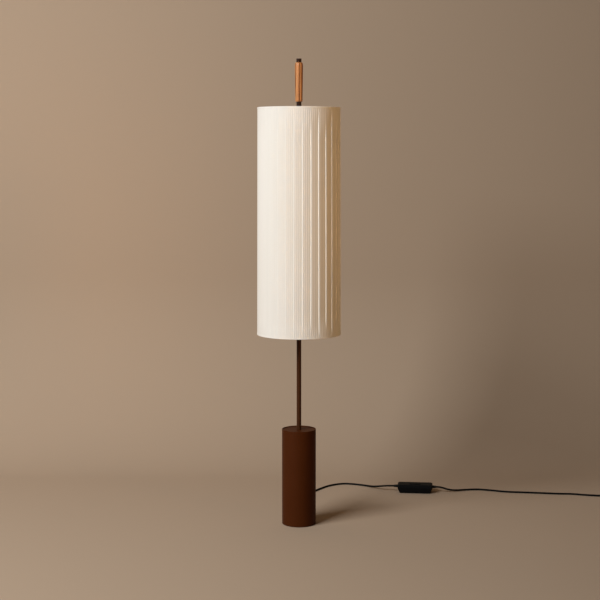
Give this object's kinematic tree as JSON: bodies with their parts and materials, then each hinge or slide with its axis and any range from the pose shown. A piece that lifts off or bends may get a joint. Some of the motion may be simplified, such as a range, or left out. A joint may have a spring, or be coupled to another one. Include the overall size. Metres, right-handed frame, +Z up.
{
  "type": "pleated shade floor lamp",
  "caption": "Floor lamp with a tall pleated drum shade, a wooden carrying grip above it, a slim pole, a heavy cylindrical foot and a corded foot switch.",
  "frame": {"origin": "centre of the foot's underside, on the floor", "axes": "+Z up along the pole, -Y towards the viewer, +X to the viewer's right, the side that the cord runs to"},
  "size_m": [1.3322, 0.6642, 1.5],
  "materials": {
    "foot_paint": "satin dark red-brown paint",
    "foot_top_paint": "satin dark brown paint",
    "pole_paint": "satin dark bronze paint",
    "cap_paint": "satin dark brown paint",
    "grip_wood": "oiled warm light brown wood with a fine straight grain",
    "pleated_cloth": "ivory pleated cloth with fine ribs",
    "trim_cloth": "ivory folded cloth edge",
    "liner_sheet": "matte white lining sheet",
    "white_wire": "white painted wire",
    "ballast_iron": "rough cast iron",
    "zinc_steel": "zinc plated steel",
    "foot_felt": "black foam rubber",
    "black_lampholder": "matte black moulded plastic",
    "contact_brass": "plain brass",
    "cap_nickel": "nickel plated bulb cap",
    "opal_glass": "opal white glass",
    "filament_rods": "yellow filament rods on a clear stem",
    "terminal_plastic": "white terminal block",
    "switch_black": "fine matte black moulded plastic",
    "button_black": "satin black moulded plastic",
    "cord_black": "satin black flexible sheath",
    "lead_white": "white insulated lead",
    "plug_pin_nickel": "nickel plated pins"
  },
  "bodies": {
    "root": {"foot_pad": "foot_felt", "bottom_plate": "zinc_steel", "bottom_plate_screws": "zinc_steel", "ballast": "ballast_iron", "foot_tube": "foot_paint", "foot_top_plate": "foot_top_paint", "cord_gland": "cord_black", "gland_nut": "black_lampholder", "terminal_block": "terminal_plastic", "foot_lead": "cord_black", "pole": "pole_paint", "pole_washer": "zinc_steel", "pole_nut": "zinc_steel", "pole_top_insert": "zinc_steel", "pole_lead": "lead_white", "clamp_rod": "zinc_steel", "grip_collar": "cap_paint", "grip": "grip_wood", "grip_cap": "cap_paint", "shade_spider": "white_wire", "shade_top_ring": "white_wire", "shade_bottom_ring": "white_wire", "shade_liner": "liner_sheet", "shade_pleats": "pleated_cloth", "shade_top_trim": "trim_cloth", "shade_bottom_trim": "trim_cloth", "arm_clamp_screws": "zinc_steel", "switch_lower_shell": "switch_black", "switch_upper_shell": "switch_black", "switch_module": "terminal_plastic", "switch_screws": "zinc_steel", "switch_feet": "foot_felt", "switch_reliefs": "cord_black", "switch_leads": "cord_black", "cord_from_foot": "cord_black", "cord_to_coil": "cord_black", "cord_coil": "cord_black", "coil_tie": "cord_black", "plug_boot": "cord_black", "plug_body": "switch_black", "plug_pins": "plug_pin_nickel", "lower_arm_clamp": "pole_paint", "lower_arm": "pole_paint", "lower_lampholder": "black_lampholder", "lower_lampholder_sleeve": "contact_brass", "lower_lampholder_contact": "contact_brass", "lower_arm_lead": "lead_white", "upper_arm_clamp": "pole_paint", "upper_arm": "pole_paint", "upper_lampholder": "black_lampholder", "upper_lampholder_sleeve": "contact_brass", "upper_lampholder_contact": "contact_brass", "upper_arm_lead": "lead_white"},
    "lower_bulb": {"lower_bulb_cap": "cap_nickel", "lower_bulb_glass": "opal_glass", "lower_bulb_filament": "filament_rods"},
    "upper_bulb": {"upper_bulb_cap": "cap_nickel", "upper_bulb_glass": "opal_glass", "upper_bulb_filament": "filament_rods"},
    "button": {"switch_button": "button_black"}
  },
  "joints": [
    {"name": "lower_bulb_out", "type": "slide", "parent": "root", "child": "lower_bulb", "axis": [0, 0, 1], "range_m": [0, 0.03]},
    {"name": "upper_bulb_out", "type": "slide", "parent": "root", "child": "upper_bulb", "axis": [0, 0, 1], "range_m": [0, 0.03]},
    {"name": "switch_press", "type": "slide", "parent": "root", "child": "button", "axis": [0, 0, -1], "range_m": [0, 0.003], "stiffness_N_per_m": 600, "springref_m": -0.004}
  ]
}
